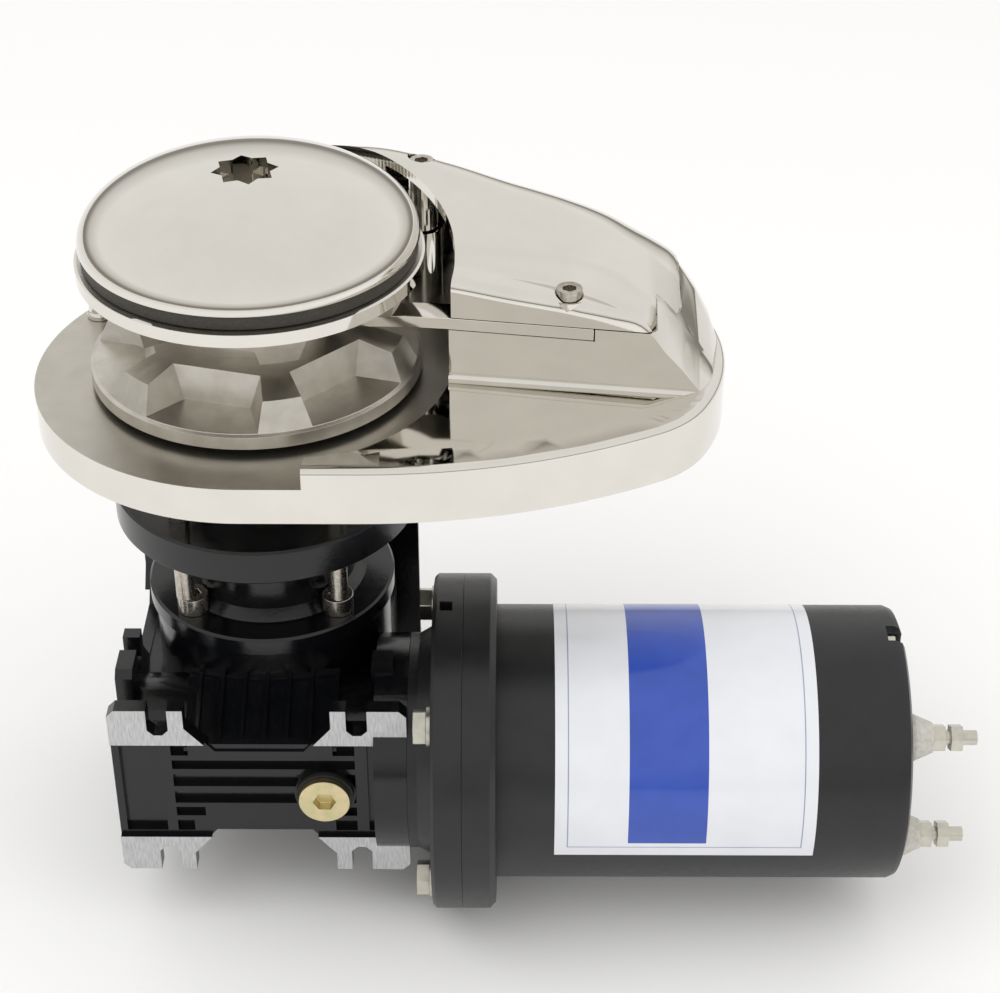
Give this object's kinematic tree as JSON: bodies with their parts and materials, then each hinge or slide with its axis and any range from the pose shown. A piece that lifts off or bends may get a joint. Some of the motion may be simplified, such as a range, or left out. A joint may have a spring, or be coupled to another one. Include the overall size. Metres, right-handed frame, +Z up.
{
  "type": "anchor windlass",
  "caption": "Vertical deck windlass: chain wheel under a domed clutch cap, pear-shaped deck plate with chain housing, worm gearbox and side-mounted electric motor below deck.",
  "frame": {"origin": "on the chain wheel's axis, in the plane of the deck plate's underside, where it rests on the deck", "axes": "+Z up along the chain wheel's axis, +X towards the chain housing and the motor"},
  "size_m": [0.379, 0.2102, 0.3096],
  "materials": {
    "polished_steel": "mirror polished stainless casting",
    "satin_steel": "satin stainless",
    "gypsy_metal": "bright plated casting",
    "dark_band": "dark clutch facing",
    "black_paint": "black enamel over casting",
    "gearbox_paint": "gloss black enamel over die casting",
    "motor_paint": "gloss black enamel",
    "iron": "machined iron",
    "bronze": "machined bronze",
    "seal_rubber": "moulded rubber",
    "label_film": "white film with a blue band",
    "insulator": "moulded grey insulator",
    "zinc": "zinc plated steel",
    "ferrite": "sintered ferrite",
    "copper": "bare copper"
  },
  "bodies": {
    "frame": {"deck_plate": "polished_steel", "chain_cover": "polished_steel", "cover_screws": "satin_steel", "stripper_bar": "satin_steel", "stripper_screw": "satin_steel", "guide_post": "polished_steel", "deck_studs": "satin_steel", "deck_bearing": "satin_steel", "deck_seal": "seal_rubber", "shaft_spool": "black_paint", "spool_screws": "zinc", "spool_bearing": "satin_steel", "gearbox_housing": "gearbox_paint", "output_cover": "gearbox_paint", "output_cover_screws": "zinc", "wheel_bearing_upper": "satin_steel", "wheel_bearing_lower": "satin_steel", "output_seal_upper": "seal_rubber", "output_seal_lower": "seal_rubber", "worm_bearing_blind": "satin_steel", "worm_bearing_drive": "satin_steel", "worm_seal": "seal_rubber", "worm_end_cap": "seal_rubber", "oil_plug": "zinc", "oil_plug_seal": "seal_rubber", "input_flange": "gearbox_paint", "flange_bolts": "zinc", "flange_washers": "zinc", "motor_flange": "motor_paint", "motor_yoke": "motor_paint", "motor_end_bell": "motor_paint", "through_bolts": "zinc", "field_magnets": "ferrite", "brush_plate": "insulator", "brushes": "ferrite", "terminal_studs": "zinc", "terminal_insulators": "insulator", "terminal_nuts": "zinc", "motor_label": "label_film", "motor_bearing_drive": "satin_steel", "motor_bearing_rear": "satin_steel"},
    "drive_shaft": {"main_shaft": "satin_steel", "shaft_keys": "satin_steel", "wheel_hub": "iron", "worm_wheel": "bronze", "lower_clutch_cone": "satin_steel"},
    "worm": {"worm_shaft": "satin_steel", "armature": "iron", "commutator": "copper"},
    "gypsy_wheel": {"gypsy": "gypsy_metal"},
    "clutch_cone": {"upper_clutch_cone": "dark_band"},
    "cap": {"clutch_cap": "polished_steel"}
  },
  "joints": [
    {"name": "worm_spin", "type": "hinge", "parent": "frame", "child": "worm", "pos_m": [0, -0.05, -0.137], "axis": [1, 0, 0], "continuous": true},
    {"name": "shaft_spin", "type": "hinge", "parent": "frame", "child": "drive_shaft", "pos_m": [0, 0, -0.137], "axis": [0, 0, 1], "continuous": true},
    {"name": "gypsy_spin", "type": "hinge", "parent": "drive_shaft", "child": "gypsy_wheel", "pos_m": [0, 0, 0.043], "axis": [0, 0, 1], "continuous": true},
    {"name": "cap_turn", "type": "hinge", "parent": "clutch_cone", "child": "cap", "pos_m": [0, 0, 0.09], "axis": [0, 0, 1], "range_deg": [0, 360]},
    {"name": "cone_lift", "type": "slide", "parent": "drive_shaft", "child": "clutch_cone", "axis": [0, 0, 1], "range_m": [0, 0.0015]}
  ],
  "couplings": [
    {"joint": "shaft_spin", "follows": "worm_spin", "ratio": -0.033333},
    {"joint": "cone_lift", "follows": "cap_turn", "m_per_rad": 0.00023873}
  ]
}
